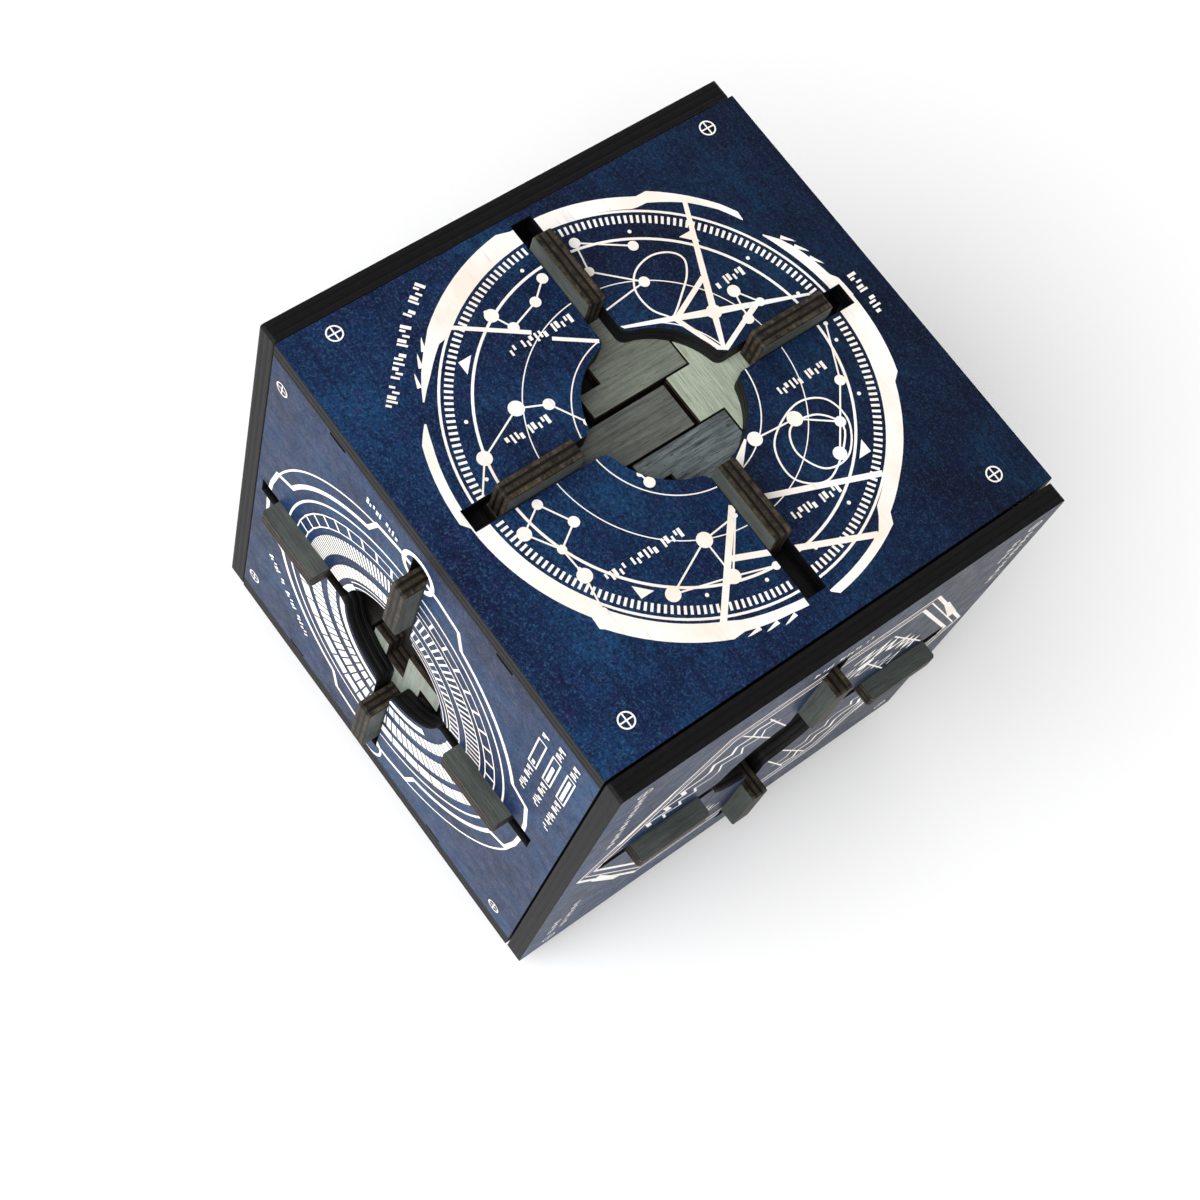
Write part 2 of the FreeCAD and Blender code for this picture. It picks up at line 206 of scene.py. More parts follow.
class Ink:
    """Flat ink shapes on one face, kept clear of its hole, slots and edges."""

    def __init__(self, face, centre=(0.0, 0.0)):
        self.face = face
        self.centre = centre
        self.level = 0
        self.shapes = []

    def fill(self, points):
        """A filled outline of any form."""
        self.level += 1
        spots = [Vector((x, y, 0)) for x, y in points]
        for triangle in tessellate_polygon([spots]):
            self.convex([points[index] for index in triangle])

    def convex(self, polygon):
        area = sum(a[0] * b[1] - a[1] * b[0] for a, b in edge_pairs(polygon))
        if area < 0:
            polygon = polygon[::-1]
        self.shapes.append((self.level, list(polygon)))

    def line(self, points, width, closed=False):
        """A line of even width through the points, mitred at its corners."""
        self.level += 1
        spots = [Vector(point) for point in points]
        count = len(spots)
        sides = []
        for index, spot in enumerate(spots):
            ways = []
            if closed or index > 0:
                ways.append((spot - spots[index - 1]).normalized())
            if closed or index < count - 1:
                ways.append((spots[(index + 1) % count] - spot).normalized())
            normals = [Vector((-way.y, way.x)) for way in ways]
            normal = sum(normals, Vector((0, 0)))
            if normal.length < PARALLEL:
                normal = normals[0].copy()
            normal.normalize()
            cosine = max(MITRE_LIMIT, abs(normal.dot(normals[0])))
            reach = normal * (width / 2 / cosine)
            sides.append((tuple(spot + reach), tuple(spot - reach)))
        last = count if closed else count - 1
        for index in range(last):
            here, after = sides[index], sides[(index + 1) % count]
            self.convex([here[0], here[1], after[1], after[0]])

    def arc(self, radius, start, stop, width, centre=None):
        centre = self.centre if centre is None else centre
        steps = max(2, round(abs(stop - start) / ARC_STEP))
        closed = abs(stop - start) >= 360
        angles = [start + (stop - start) * step / steps for step in range(steps + (not closed))]
        self.line([polar(radius, angle, centre) for angle in angles], width, closed)

    def ring(self, radius, width, centre=None):
        self.arc(radius, 0, 360, width, centre)

    def disc(self, spot, radius):
        self.level += 1
        self.convex([polar(radius, angle, spot) for angle in range(0, 360, DISC_STEP)])

    def band(self, *profile):
        """A curved band through (angle, inner radius, outer radius) stations."""
        self.level += 1
        for (a0, in0, out0), (a1, in1, out1) in zip(profile, profile[1:]):
            steps = max(1, round(abs(a1 - a0) / ARC_STEP))
            for step in range(steps):
                cuts = []
                for share in (step / steps, (step + 1) / steps):
                    angle = a0 + (a1 - a0) * share
                    inner = in0 + (in1 - in0) * share
                    outer = out0 + (out1 - out0) * share
                    cuts.append((polar(inner, angle, self.centre), polar(outer, angle, self.centre)))
                self.convex([cuts[0][0], cuts[0][1], cuts[1][1], cuts[1][0]])

    def cell(self, inner, outer, start, stop, border=None):
        """One block of a ring of cells: solid, or an outline with the given line width."""
        corners = [polar(radius, angle, self.centre) for radius, angle in
                   ((inner, start), (outer, start), (outer, stop), (inner, stop))]
        if border is None:
            self.convex(corners)
        else:
            self.line(corners, border, closed=True)

    def ticks(self, inner, outer, count, width, start=0.0, stop=360.0):
        self.level += 1
        for index in range(count):
            angle = start + (stop - start) * (index + 0.5) / count
            half = math.degrees(width / 2 / outer)
            self.cell(inner, outer, angle - half, angle + half)

    def barb(self, radius, angle):
        """A slender tooth whose tip lies on a circle and which points clockwise."""
        self.level += 1
        self.convex([polar(radius - drop, angle + turn, self.centre) for drop, turn in BARB])

    def stars(self, spots, links, width=0.38):
        """A constellation: round stars of (x, y, radius) joined by thin lines."""
        for first, second in links:
            self.line([spots[first][:2], spots[second][:2]], width)
        for x, y, radius in spots:
            self.disc((x, y), radius)

    def tally(self, start, stop, height=2.0, pitch=1.05, width=0.5):
        """A row of plain thin strokes of uneven height, where a label would stand."""
        foot = Vector(start)
        row = Vector(stop) - foot
        along = row.normalized()
        up = Vector((-along.y, along.x))
        self.level += 1
        for index in range(round(row.length / pitch)):
            if index % GAP_EVERY == GAP_PLACE:
                continue
            near = foot + along * pitch * index
            far = near + along * (width if index % WIDE_EVERY else width * WIDE_FACTOR)
            low = up * height * STROKE_LOWS[index % len(STROKE_LOWS)]
            high = up * height * STROKE_HIGHS[index % len(STROKE_HIGHS)]
            self.convex([tuple(near + low), tuple(far + low), tuple(far + high),
                         tuple(near + high)])

    def register_mark(self, x, y):
        """A small circle with a cross in it, near a corner."""
        radius, arm, width = 1.65, 1.6, 0.32
        self.ring(radius, 0.34, (x, y))
        self.line([(x - arm, y), (x + arm, y)], width)
        self.line([(x, y - arm), (x, y + arm)], width)

    def build(self, material):
        """Turn the shapes into one mesh just proud of the panel."""
        left, right, low, high = self.face.edges
        window = box_outline(left + EDGE_MARGIN, right - EDGE_MARGIN,
                             low + EDGE_MARGIN, high - EDGE_MARGIN)
        mesh = bmesh.new()
        for level, polygon in self.shapes:
            pieces = [keep_inside(polygon, window)]
            for opening in OPENINGS:
                pieces = [part for piece in pieces if len(piece) > 2
                          for part in cut_away(piece, opening)]
            height = INK_LIFT + level * INK_STEP
            for piece in pieces:
                if len(piece) > 2:
                    mesh.faces.new([mesh.verts.new(self.face.point(x, y, height)) for x, y in piece])
        bmesh.ops.remove_doubles(mesh, verts=mesh.verts, dist=MERGE_DISTANCE)
        bmesh.ops.dissolve_degenerate(mesh, edges=mesh.edges, dist=MERGE_DISTANCE)
        for face in mesh.faces:
            face.normal_update()
            if face.normal.dot(self.face.out) < 0:
                face.normal_flip()
        data = bpy.data.meshes.new(f"{self.face.name}_print")
        mesh.to_mesh(data)
        mesh.free()
        data.materials.append(material)
        piece = bpy.data.objects.new(f"{self.face.name}_print", data)
        bpy.context.scene.collection.objects.link(piece)
        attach(piece, self.face.body)


def corner_marks(ink, inset=9.6):
    """A register mark near each corner, the left two a little further in."""
    _, _, low, high = ink.face.edges
    reach = min(abs(low), abs(high)) - inset
    left_inset = 1.0
    for x in (-reach + left_inset, reach):
        for y in (-reach, reach):
            ink.register_mark(x, y)


def smooth_loop(points, count=48):
    """Points on a smooth closed curve through the given ones."""
    size = len(points)
    curve = []
    for step in range(count):
        place = step / count * size
        index = int(place)
        share = place - index
        p0, p1, p2, p3 = (Vector(points[(index + shift) % size]) for shift in (-1, 0, 1, 2))
        curve.append(tuple(0.5 * (
            2 * p1 + (p2 - p0) * share
            + (2 * p0 - 5 * p1 + 4 * p2 - p3) * share ** 2
            + (3 * p1 - p0 - 3 * p2 + p3) * share ** 3)))
    return curve


def star_flare(ink, heart):
    """A long four-pointed star: each ray ends at a tip, and is wider at the heart."""
    for tip, root, point in (((-34.6, 32.3), 0.75, 0.5), ((-3.9, 41.2), 0.8, 0.28),
                             ((-2.8, 17.5), 0.7, 0.45), ((-17.9, 2.7), 0.85, 0.3)):
        way = Vector(tip) - Vector(heart)
        side = Vector((-way.y, way.x)).normalized()
        ends = (Vector(heart) + side * root, Vector(tip) + side * point,
                Vector(tip) - side * point, Vector(heart) - side * root)
        ink.fill([tuple(spot) for spot in ends])
    ink.disc(heart, 1.65)


def star_chart(ink):
    """Top: a compass-like chart with a broken outer band, tick ring and constellations."""
    ink.centre = (1.0, -0.35)
    ink.band((93, 45.0, 49.3), (68, 45.0, 49.5), (65.5, 45.0, 48.3), (40, 45.0, 48.0),
             (30, 45.3, 48.2), (27.5, 46.4, 49.6), (24, 47.7, 49.6), (5, 47.9, 49.7),
             (3.5, 48.0, 48.4))
    ink.band((-3, 46.4, 48.2), (-8, 46.2, 48.0), (-20, 46.0, 48.4), (-23, 45.7, 49.5),
             (-52, 45.6, 49.5), (-53, 45.4, 49.8), (-55.5, 45.0, 48.1), (-89.5, 45.0, 48.1))
    ink.band((-89.5, 47.3, 48.1), (-91.5, 47.35, 49.4), (-112, 47.4, 49.4), (-117.2, 47.7, 48.1))
    ink.band((183.5, 44.6, 48.1), (151, 45.3, 48.2), (149.5, 45.7, 48.3), (147, 46.8, 49.6),
             (137, 48.0, 49.7), (129, 48.3, 49.7), (124.4, 48.0, 49.4), (122.5, 47.9, 48.1))
    ink.band((183.5, 44.6, 48.1), (187, 44.5, 49.2), (218, 44.5, 48.9), (221, 45.9, 48.6),
             (230, 46.5, 48.3), (237.2, 47.6, 47.9))
    ink.band((116.5, 46.6, 46.9), (112, 46.4, 48.0), (108, 46.3, 48.4), (97.5, 46.2, 48.6),
             (95.5, 46.2, 49.5), (90, 45.9, 49.5))
    for tip in (108.9, 104.9, 100.3, 220.5, 224.9, 230.0, -10.6, -15.3, -19.9):
        ink.barb(49.6, tip)
    ink.ring(44.8, 0.55)
    ink.ticks(42.0, 43.8, 210, 0.6)
    ink.ring(38.3, 0.6)
    ink.ring(28.6, 0.24)
    ink.ring(19.0, 0.28)
    for step in range(20):
        angle = 9 + 18 * step
        if angle % 90 != 45:
            ink.disc(polar(40.0, angle, ink.centre), 0.42)
    wedge_side = 3.1
    for x, y in ((1, 1), (-1, 1), (-1, -1), (1, -1)):
        corner = (ink.centre[0] + 29.4 * x, ink.centre[1] + 29.35 * y)
        ink.fill([corner, (corner[0] - wedge_side * x, corner[1]),
                  (corner[0], corner[1] - wedge_side * y)])

    star_flare(ink, (-11.0, 21.3))
    for points, width in (
        (((-18.4, 24.3), (-13.6, 13.5), (-2.8, 17.4)), 1.1),
        (((-7.8, 29.6), (-2.8, 17.5)), 1.05),
        (((35.4, 27.9), (26.3, 3.4)), 1.3),
        (((45.1, 18.5), (33.3, -9.8)), 1.35),
        (((24.6, -2.6), (43.9, -20.4)), 1.4),
        (((-17.5, -2.6), (-23.1, -10.7)), 0.85),
        (((-26.3, -13.4), (-35.8, -27.0)), 0.95),
    ):
        ink.line(points, width)
    ink.fill([(15.0, 8.9), (19.6, 4.2), (17.2, 4.2), (14.6, 8.6)])

    ink.line(smooth_loop([(-23.9, 23.6), (-26.6, 21.9), (-27.9, 17.8), (-26.6, 13.1),
                          (-23.1, 10.4), (-18.4, 10.4), (-15.4, 12.2), (-14.5, 13.6),
                          (-17.8, 18.4), (-20.7, 21.9)]), 0.42, closed=True)
    double_loop = smooth_loop([(14.2, 22.0), (16.4, 28.4), (22.8, 29.4), (28.6, 24.6),
                               (28.4, 18.6), (22.6, 15.8), (17.6, 18.4), (18.4, 25.0),
                               (24.0, 27.4), (30.6, 18.0), (26.6, 11.6), (18.6, 13.2)], 90)
    ink.line(double_loop[:46], 0.42)
    ink.line(double_loop[45:] + double_loop[:1], 0.42)

    ink.stars([(-31.6, 16.4, 1.15), (-23.8, 13.2, 1.2), (-31.4, 4.9, 1.1), (-38.2, 6.4, 1.2),
               (-22.6, 2.7, 0.2)], [(3, 0), (3, 2), (2, 1), (1, 4)])
    ink.stars([(-35.0, -4.2, 1.2), (-31.4, -8.6, 1.2), (-29.0, -15.8, 1.2), (-33.4, -18.0, 1.5)],
              [(0, 1), (1, 2), (2, 3)])
    ink.stars([(-4.8, -15.9, 0.8), (-11.8, -20.0, 1.25), (-14.4, -26.0, 1.7), (-9.0, -37.6, 1.6),
               (-2.8, -42.6, 0.2)], [(0, 1), (1, 2), (2, 3), (3, 4)])
    ink.stars([(10.8, -31.0, 1.2), (4.2, -34.8, 1.1), (7.8, -40.6, 1.5), (14.2, -36.4, 1.0),
               (20.8, -36.0, 1.6), (28.6, -37.4, 0.9)],
              [(0, 1), (1, 2), (2, 3), (3, 0), (3, 4), (4, 5)])
    ink.stars([(26.6, -3.4, 0.5), (27.4, -11.8, 1.7), (36.4, -11.8, 1.6), (33.0, -24.0, 1.6),
               (39.2, -3.2, 0.9)], [(0, 1), (1, 2), (2, 3), (3, 1), (2, 4), (0, 2)])
    ink.stars([(15.8, 10.4, 1.6), (16.6, 20.2, 1.7), (22.0, 27.8, 1.2), (27.4, 23.2, 1.5),
               (14.8, 33.8, 1.2), (3.2, 39.6, 0.5)], [(0, 1), (1, 2), (2, 3), (2, 4), (4, 5)])
    ink.stars([(-7.8, 31.0, 1.0), (-12.6, 27.8, 1.4), (-6.0, 26.4, 1.2)], [(0, 1), (0, 2), (1, 2)])
    ink.stars([(12.0, -13.4, 1.2), (9.6, -14.0, 0.6)], [(0, 1)])

    ink.tally((-3.2, 50.7), (6.8, 50.7))
    ink.tally((-41.0, -34.5), (-27.2, -48.0), 2.2)
    ink.tally((-47.2, -26.5), (-42.2, -33.3), 2.2)
    for x, high, low in ((-25.9, -4.5, -20.3), (-10.4, -21.8, -31.8), (22.6, -14.5, -33.5),
                         (32.0, 18.3, 4.7), (9.3, 33.3, 20.7), (-16.5, 32.5, 24.9)):
        ink.tally((x, high), (x, low))
    for spot in ((-46.1, 47.6), (47.9, 47.5), (-45.9, -46.5), (48.0, -47.0)):
        ink.register_mark(*spot)


def stepped_outline(inner, outer, half_angle, ramp, centre):
    """A circle that steps out to a larger one around each of the four slots."""
    points = []
    for quarter in range(4):
        middle_angle = 90 * quarter
        for angle in (-half_angle, -half_angle / 2, 0, half_angle / 2, half_angle):
            points.append(polar(outer, middle_angle + angle, centre))
        start = half_angle + ramp
        for step in range(13):
            turn = middle_angle + start + (90 - 2 * start) * step / 12
            points.append(polar(inner, turn, centre))
    return points


# The rings of cells on the front: inner and outer radius of each.
CELL_ROWS = ((20.2, 23.3), (25.8, 30.3), (32.2, 35.3))
# Each quarter of them: where it starts, then for each ring how many cells it has, the share of
# its room that a cell fills, and the line width of an outlined cell (None if it is solid).
CELL_QUARTERS = (
    (3, ((18, 0.84, 0.3), (25, 0.84, 0.3), (10, 0.93, 0.36))),
    (93, ((20, 0.82, None), (36, 0.58, None), (10, 0.93, 0.34))),
    (183, ((16, 0.8, None), (21, 0.8, None), (10, 0.92, None))),
    (273, ((16, 0.8, None), (21, 0.8, None), (10, 0.92, None))),
)
CELL_SWEEP = 84         # of each quarter of a ring; the rest lies at a slot
# The three bar gauges: the level in each, and the ends of the tallies above and below it.
GAUGES = ((1.6, 47.7, 18.0), (7.6, 50.0, 18.0), (10.2, 50.0, 14.0))
GAUGE_PITCH = 4.5
GAUGE_LOW, GAUGE_HIGH = 31.6, 43.9


def engine_gauge(ink):
    """Front: rings of cells round the hole in a stepped outline, with three small bar gauges."""
    ink.centre = (0.0, -0.9)
    ink.line(stepped_outline(41.5, 45.6, 17.1, 4.9, ink.centre), 1.15, closed=True)
    ink.arc(45.3, 108, 163, 0.5)
    ink.arc(46.0, -72, -17, 0.5)
    ink.ring(38.2, 0.6)
    for start, rows in CELL_QUARTERS:
        for (inner, outer), (count, share, border) in zip(CELL_ROWS, rows):
            room = CELL_SWEEP / count
            ink.level += 1
            for index in range(count):
                first = start + room * index
                ink.cell(inner, outer, first, first + room * share, border)
    ink.arc(17.9, 148, 320, 1.7)
    ink.arc(19.3, 3, 148, 0.3)
    ink.arc(18.0, 3, 148, 0.3)
    ink.ring(4.6, 1.25, (-0.2, 44.9))
    ink.ring(4.5, 0.8, (0.0, -48.3))
    ink.arc(2.0, -150, 120, 0.6, (21.2, -4.5))
    for index, (level, top, low) in enumerate(GAUGES):
        x = 40.35 + GAUGE_PITCH * index
        ink.line(box_outline(x - 1.15, x + 1.15, GAUGE_LOW, GAUGE_HIGH), 0.4, closed=True)
        ink.fill(box_outline(x - 0.45, x + 0.45, GAUGE_LOW + 0.8, GAUGE_LOW + 0.8 + level))
        ink.tally((x - 0.95, top), (x - 0.95, GAUGE_HIGH + 1.2), 1.9)
        ink.tally((x - 0.95, GAUGE_LOW - 1.6), (x - 0.95, low), 1.9)
    ink.tally((-17.5, 46.0), (-7.2, 46.0), 2.0)
    ink.tally((-42.5, -25.6), (-36.6, -31.2), 2.0)
    ink.tally((-35.4, -32.4), (-25.7, -41.5), 2.0)
    for spot in ((-45.9, 45.8), (-46.3, -45.5), (48.0, -47.0)):
        ink.register_mark(*spot)


def zigzag(points, steps, height, rng):
    """A jagged line that follows a path and strays to either side of it."""
    path = []
    spots = [Vector(point) for point in points]
    for start, stop in zip(spots, spots[1:]):
        way = stop - start
        side = Vector((-way.y, way.x)).normalized()
        for step in range(steps):
            stray = height * rng.uniform(0.45, 1.0) * (1 if step % 2 else -1)
            path.append(tuple(start + way * (step + 0.5) / steps + side * stray))
    return path


def hexagon(half_width, shoulder, high, low):
    """A hexagon that stands on a flat side, with its two tips level with the hole."""
    return [(half_width, 0.0), (shoulder, high), (-shoulder, high),
            (-half_width, 0.0), (-shoulder, low), (shoulder, low)]


# Traces in the upper half of the lid's hexagon, each a path and the width of its line; the
# lower half has the same ones turned half round.
TRACES = (
    (((-40.0, 9.0), (-28.6, 25.0), (-13.0, 37.0)), 1.1),
    (((10.0, 35.0), (24.0, 25.0), (37.0, 9.0)), 1.3),
    (((-35.0, 7.0), (-24.0, 18.0), (-9.0, 31.0)), 0.6),
    (((8.0, 29.0), (18.0, 20.0), (32.0, 6.0)), 0.6),
)
TRACE_STEPS = 7
TRACE_HEIGHT = 3.0
THIN_LINES = (((-22.7, 40.0), (-7.0, 15.0)), ((-15.0, 38.0), (-3.0, 16.0)),
              ((17.0, 23.0), (29.0, 4.0)), ((20.0, 34.0), (40.0, 5.0)))


def wave_hexagon(ink):
    """Lid: a hexagon drawn in three lines, with bold jagged traces inside it."""
    rng = random.Random(11)
    ink.line(hexagon(54.0, 27.3, 45.3, -43.4), 0.9, closed=True)
    ink.line(hexagon(52.0, 26.3, 43.4, -41.6), 0.35, closed=True)
    ink.line(hexagon(49.6, 25.0, 41.2, -39.4), 0.9, closed=True)
    for sign in (1, -1):
        for side in (1, -1):
            ink.fill([(side * 34.4, sign * 32.6), (side * 37.0, sign * 30.6),
                      (side * 47.8, sign * 11.6), (side * 45.4, sign * 11.2)])
        for path, width in TRACES:
            turned = [(sign * x, sign * y) for x, y in path]
            ink.line(zigzag(turned, TRACE_STEPS, TRACE_HEIGHT, rng), width)
        for ends in THIN_LINES:
            ink.line([(sign * x, sign * y) for x, y in ends], 0.4)
    ink.disc((15.9, 24.4), 2.2)
    for x, high, low in ((-50.95, 48.0, 17.0), (47.55, 47.0, 37.0), (51.05, 47.0, 22.0),
                         (-48.35, -28.0, -46.6), (-51.95, -36.0, -46.6)):
        ink.tally((x, high), (x, low), 1.9)
    ink.tally((-8.0, 49.6), (7.3, 49.6), 2.0)
    corner_marks(ink, 6.2)


def radial_dial(ink):
    """Left: a dial of fine rings with long and short strokes."""
    ink.ring(45.6, 1.6)
    ink.ring(43.2, 0.4)
    ink.ticks(39.6, 42.0, 120, 0.5)
    ink.ring(37.0, 0.5)
    for index in range(24):
        angle = 15 * index + 7.5
        ink.line([polar(29.0, angle), polar(35.2 if index % 3 else 36.4, angle)], 0.9)
        ink.disc(polar(26.4, angle), 0.7)
    ink.ring(23.4, 0.35)
    ink.ring(19.0, 0.9)
    for quarter in range(4):
        start = 90 * quarter + 12
        ink.band((start, 47.4, 48.2), (start + 3, 47.4, 50.2), (start + 30, 47.4, 50.2),
                 (start + 33, 47.4, 48.2))
        for step in range(4):
            ink.barb(50.2, start + 42 + 5 * step)
    ink.tally((-7.0, 51.6), (7.0, 51.6))
    corner_marks(ink)


def orbit_plan(ink):
    """Back: nested orbits with planets, and rows of strokes in the lower corners."""
    for index, radius in enumerate((20.0, 24.5, 29.0, 34.0, 39.5, 45.5)):
        ink.ring(radius, 0.3 if index % 2 else 0.55)
        angle = 37 + 71 * index
        ink.disc(polar(radius, angle), 1.3 + 0.35 * (index % 3))
        ink.ring(2.6 + 0.35 * (index % 3), 0.3, polar(radius, angle))
        ink.arc(radius + 1.3, angle + 20, angle + 70, 0.9)
    ink.ticks(47.2, 49.4, 96, 0.6)
    for sign in (-1, 1):
        for row in range(2):
            low = -51.0 + 3.2 * row
            ink.tally((sign * 33.0 - 4.0, low), (sign * 33.0 + 2.0 + 2.0 * row, low))
    ink.tally((-7.0, 50.4), (7.0, 50.4))
    corner_marks(ink)


def grid_plan(ink):
    """Bottom: a target of rings in a broken square frame."""
    ink.ring(44.0, 1.2)
    ink.ring(41.6, 0.4)
    ink.ticks(37.8, 40.4, 72, 0.7)
    ink.ring(30.0, 0.5)
    ink.ring(19.4, 0.9)
    for quarter in range(4):
        angle = 45 + 90 * quarter
        ink.line([polar(21.0, angle), polar(36.6, angle)], 0.6)
        for shift in (-24, -12, 12, 24):
            ink.disc(polar(34.0, angle + shift), 0.9)
            ink.line([polar(34.0, angle + shift), polar(25.0, angle)], 0.35)
    for x in (-1, 1):
        for y in (-1, 1):
            ink.line([(x * 49, y * 30), (x * 49, y * 42), (x * 42, y * 49), (x * 30, y * 49)], 0.9)
    corner_marks(ink)


ARTWORK = {
    "top": star_chart,
    "front": engine_gauge,
    "lid": wave_hexagon,
    "left": radial_dial,
    "back": orbit_plan,
    "bottom": grid_plan,
}


# ---------------------------------------------------------------- materials
class Shader:
    """A Principled material under construction."""

    def __init__(self, name, roughness, specular=0.5):
        self.material = bpy.data.materials.new(name)
        self.material.use_nodes = True
        self.tree = self.material.node_tree
        self.surface = self.tree.nodes["Principled BSDF"]
        self.surface.inputs["Roughness"].default_value = roughness
        self.surface.inputs["Specular IOR Level"].default_value = specular
        self.position = self.tree.nodes.new("ShaderNodeTexCoord").outputs["Object"]

    def link(self, source, target):
        self.tree.links.new(source, target)

    def stretched(self, scale):
        """The position in metres, multiplied by a scale per axis."""
        node = self.tree.nodes.new("ShaderNodeVectorMath")
        node.operation = "MULTIPLY"
        self.link(self.position, node.inputs[0])
        node.inputs[1].default_value = scale
        return node.outputs[0]

    def noise(self, scale, detail=4.0, rough=0.55, vector=None):
        """Cloudy noise about 0.5, with its scale in waves for each metre."""
        node = self.tree.nodes.new("ShaderNodeTexNoise")
        node.inputs["Scale"].default_value = scale
        node.inputs["Detail"].default_value = detail
        node.inputs["Roughness"].default_value = rough
        self.link(vector if vector is not None else self.position, node.inputs["Vector"])
        return node.outputs["Fac"]

    def ramp(self, value, *stops):
        """Colours along a value; each stop is (place, (r, g, b)) or (place, grey)."""
        node = self.tree.nodes.new("ShaderNodeValToRGB")
        bar = node.color_ramp
        while len(bar.elements) < len(stops):
            bar.elements.new(0.5)
        for element, (place, colour) in zip(bar.elements, stops):
            element.position = place
            rgb = colour if isinstance(colour, tuple) else (colour,) * 3
            element.color = (*rgb, 1.0)
        self.link(value, node.inputs["Fac"])
        return node.outputs["Color"]

    def mix(self, share, first, second, blend="MIX"):
        """Blend two colours; each of the three may be an output or a plain value."""
        node = self.tree.nodes.new("ShaderNodeMix")
        node.data_type = "RGBA"
        node.blend_type = blend
        inputs = {socket.identifier: socket for socket in node.inputs}
        for identifier, given in (("Factor_Float", share), ("A_Color", first), ("B_Color", second)):
            socket = inputs[identifier]
            if isinstance(given, bpy.types.NodeSocket):
                self.link(given, socket)
            elif isinstance(given, tuple):
                socket.default_value = (*given, 1.0)
            else:
                socket.default_value = given
        outputs = {socket.identifier: socket for socket in node.outputs}
        return outputs["Result_Color"]

    def maths(self, operation, first, second):
        node = self.tree.nodes.new("ShaderNodeMath")
        node.operation = operation
        for socket, given in zip(node.inputs, (first, second)):
            if isinstance(given, bpy.types.NodeSocket):
                self.link(given, socket)
            else:
                socket.default_value = given
        return node.outputs[0]

    def across(self, axis, origin, span):
        """0 to 1 along an axis, from origin over span, both in metres."""
        node = self.tree.nodes.new("ShaderNodeVectorMath")
        node.operation = "DOT_PRODUCT"
        self.link(self.position, node.inputs[0])
        node.inputs[1].default_value = tuple(axis)
        shifted = self.maths("SUBTRACT", node.outputs["Value"], origin)
        return self.maths("DIVIDE", shifted, span)

    def bump(self, height, strength, distance):
        node = self.tree.nodes.new("ShaderNodeBump")
        node.inputs["Strength"].default_value = strength
        node.inputs["Distance"].default_value = distance
        self.link(height, node.inputs["Height"])
        self.link(node.outputs["Normal"], self.surface.inputs["Normal"])

    def finish(self, colour, roughness=None):
        self.link(colour, self.surface.inputs["Base Color"])
        if roughness is not None:
            self.link(roughness, self.surface.inputs["Roughness"])
        return self.material


def grain_scale(along, thin, long):
    """A per-axis scale that draws a pattern out along one direction."""
    return tuple(long if abs(part) > 0.5 else thin for part in along)


NAVY_CLOUDS = ((0.36, (0.0025, 0.0075, 0.042)), (0.5, (0.0035, 0.02, 0.08)),
               (0.66, (0.006, 0.052, 0.15)))
NAVY_BLOT = (0.024, 0.02, 0.09)
NAVY_SPECK = (0.055, 0.16, 0.27)
NAVY_GRIT = (0.001, 0.003, 0.017)
NAVY_GRAIN = (0.002, 0.004, 0.02)
# Painted sheen: the navy is multiplied by this, lightest at the front of the box and darker towards
# its back.
NAVY_PAINTED_SHEEN = ((0.1, 1.0), (0.9, 0.42))      # brightness from the front of the box to its back
CREAM_CLOUDS = ((0.35, (0.9, 0.8, 0.7)), (0.6, (0.96, 0.94, 0.9)))
CREAM_THIN = (0.5, 0.5, 0.56)
CREAM_SPOT = (0.55, 0.56, 0.62)


def printed_navy(name, along):
    """Navy print over ply: mottled, speckled, a little grained, with a painted sheen that leaves it
    darker towards the back.
    """
    shader = Shader(name, 0.44, 0.2)
    cloud = shader.noise(42.0, 6.0, 0.62)
    blot = shader.noise(300.0, 4.0, 0.65)
    speck = shader.noise(2200.0, 3.0, 0.75)
    grit = shader.noise(1300.0, 4.0, 0.8)
    grain = shader.noise(1.0, 6.0, 0.65, shader.stretched(grain_scale(along, 900.0, 55.0)))
    base = shader.ramp(cloud, *NAVY_CLOUDS)
    tinted = shader.mix(shader.ramp(blot, (0.5, 0.0), (0.7, 0.6)), base, NAVY_BLOT)
    specked = shader.mix(shader.ramp(speck, (0.5, 0.0), (0.68, 0.5)), tinted, NAVY_SPECK)
    gritty = shader.mix(shader.ramp(grit, (0.38, 0.8), (0.52, 0.0)), specked, NAVY_GRIT)
    lined = shader.mix(shader.ramp(grain, (0.36, 0.4), (0.5, 0.0)), gritty, NAVY_GRAIN)
    # Painted sheen: the print is darkened towards the back of the box, in place of a reflection on
    # its front.
    far = shader.across((0, 1, 0), CAD_BOX[0][1], CAD_BOX[1][1] - CAD_BOX[0][1])
    navy_with_painted_sheen = shader.mix(1.0, lined, shader.ramp(far, *NAVY_PAINTED_SHEEN), "MULTIPLY")
    shader.bump(shader.maths("ADD", speck, shader.maths("MULTIPLY", grain, 0.5)), 0.3, 0.0003)
    worn = shader.ramp(blot, (0.35, 0.5), (0.65, 0.38))
    return shader.finish(navy_with_painted_sheen, worn)


def cream_ink(name, along):
    """Near-white ink with cream clouds, slightly thin over the grain."""
    shader = Shader(name, 0.5)
    cloud = shader.noise(60.0, 4.0, 0.6)
    speck = shader.noise(1700.0, 2.0, 0.6)
    grain = shader.noise(1.0, 5.0, 0.6, shader.stretched(grain_scale(along, 900.0, 60.0)))
    base = shader.ramp(cloud, *CREAM_CLOUDS)
    thin = shader.mix(shader.ramp(grain, (0.28, 0.4), (0.4, 0.0)), base, CREAM_THIN)
    spotted = shader.mix(shader.ramp(speck, (0.7, 0.0), (0.86, 0.4)), thin, CREAM_SPOT)
    shader.bump(grain, 0.25, 0.0002)
    return shader.finish(spotted, shader.ramp(cloud, (0.3, 0.45), (0.7, 0.6)))


